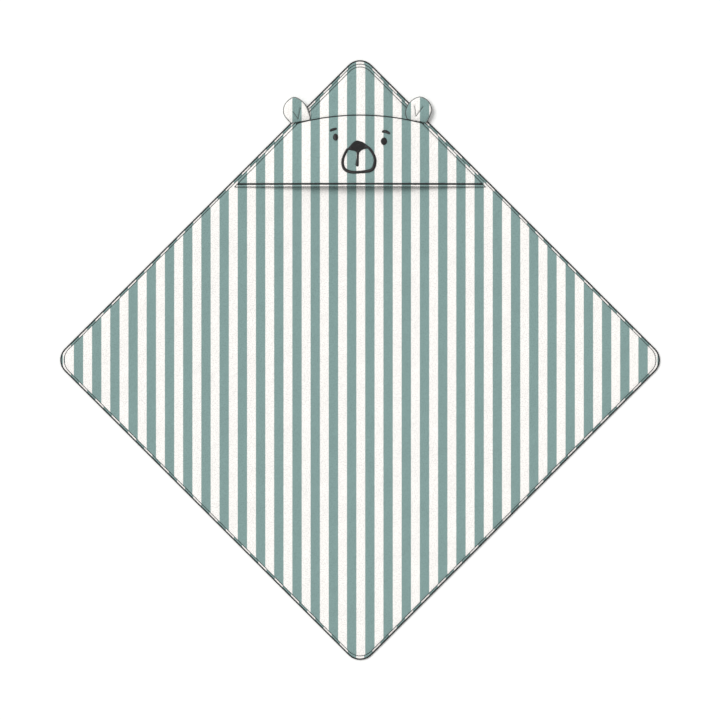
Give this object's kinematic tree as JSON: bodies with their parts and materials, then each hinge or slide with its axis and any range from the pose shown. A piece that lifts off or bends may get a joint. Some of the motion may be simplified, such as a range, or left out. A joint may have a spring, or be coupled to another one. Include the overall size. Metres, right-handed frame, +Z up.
{
  "type": "hooded baby towel",
  "caption": "Square striped terry baby towel with a hood sewn on one corner, two small ears and an embroidered animal face.",
  "frame": {"origin": "centre of the towel's underside, on the surface that it lies on", "axes": "+Z up through the cloth, +Y towards the tip of the hooded corner, +X to the right of the face as it is looked at from above"},
  "size_m": [1.0374, 1.0374, 0.0206],
  "materials": {
    "striped_terry": "woven cotton terry, woven-in vertical stripes of grey-green and off-white, matt looped pile",
    "edge_thread": "near-black polyester sewing thread, slight sheen",
    "ear_thread": "mid-grey polyester sewing thread",
    "embroidery_thread": "near-black rayon embroidery thread in satin stitch, silky"
  },
  "bodies": {
    "middle": {"towel_centre": "striped_terry", "edging_top_left": "edge_thread", "edging_top_right": "edge_thread", "edging_bottom_left": "edge_thread", "edging_bottom_right": "edge_thread", "topstitch_top_left": "edge_thread", "topstitch_top_right": "edge_thread", "topstitch_bottom_left": "edge_thread", "topstitch_bottom_right": "edge_thread"},
    "hooded_corner": {"towel_head": "striped_terry", "edging_head": "edge_thread", "topstitch_head": "edge_thread", "hood_face": "striped_terry", "hood_crown": "striped_terry", "hood_hem": "striped_terry", "hood_piping": "edge_thread", "hood_hem_stitch": "edge_thread", "hood_side_stitch": "edge_thread", "crown_seam": "edge_thread", "eye_left": "embroidery_thread", "eye_right": "embroidery_thread", "brow_left": "embroidery_thread", "brow_right": "embroidery_thread", "nose": "embroidery_thread", "muzzle_outline": "embroidery_thread", "mouth_line": "embroidery_thread"},
    "left_corner": {"towel_left": "striped_terry", "edging_left": "edge_thread", "topstitch_left": "edge_thread"},
    "right_corner": {"towel_right": "striped_terry", "edging_right": "edge_thread", "topstitch_right": "edge_thread"},
    "foot_corner": {"towel_foot": "striped_terry", "edging_foot": "edge_thread", "topstitch_foot": "edge_thread"},
    "left_ear": {"ear_left_front": "striped_terry", "ear_left_back": "striped_terry", "ear_left_edge_stitch": "ear_thread", "ear_left_tuck_stitch": "ear_thread"},
    "right_ear": {"ear_right_front": "striped_terry", "ear_right_back": "striped_terry", "ear_right_edge_stitch": "ear_thread", "ear_right_tuck_stitch": "ear_thread"}
  },
  "joints": [
    {"name": "hooded_corner_lift", "type": "hinge", "parent": "middle", "child": "hooded_corner", "pos_m": [0, 0.275, 0.0045], "axis": [1, 0, 0], "range_deg": [0, 100]},
    {"name": "left_corner_fold", "type": "hinge", "parent": "middle", "child": "left_corner", "pos_m": [-0.275, 0, 0.0045], "axis": [0, 1, 0], "range_deg": [0, 178]},
    {"name": "right_corner_fold", "type": "hinge", "parent": "middle", "child": "right_corner", "pos_m": [0.275, 0, 0.0045], "axis": [0, -1, 0], "range_deg": [0, 178]},
    {"name": "foot_corner_fold", "type": "hinge", "parent": "middle", "child": "foot_corner", "pos_m": [0, -0.275, 0.0045], "axis": [-1, 0, 0], "range_deg": [0, 178]},
    {"name": "left_ear_fold", "type": "hinge", "parent": "hooded_corner", "child": "left_ear", "pos_m": [-0.1028, 0.4128, 0.00965], "axis": [0.9858, 0.168, 0], "range_deg": [0, 135]},
    {"name": "right_ear_fold", "type": "hinge", "parent": "hooded_corner", "child": "right_ear", "pos_m": [0.09835, 0.41385, 0.00965], "axis": [0.9825, -0.1865, 0], "range_deg": [0, 135]}
  ]
}
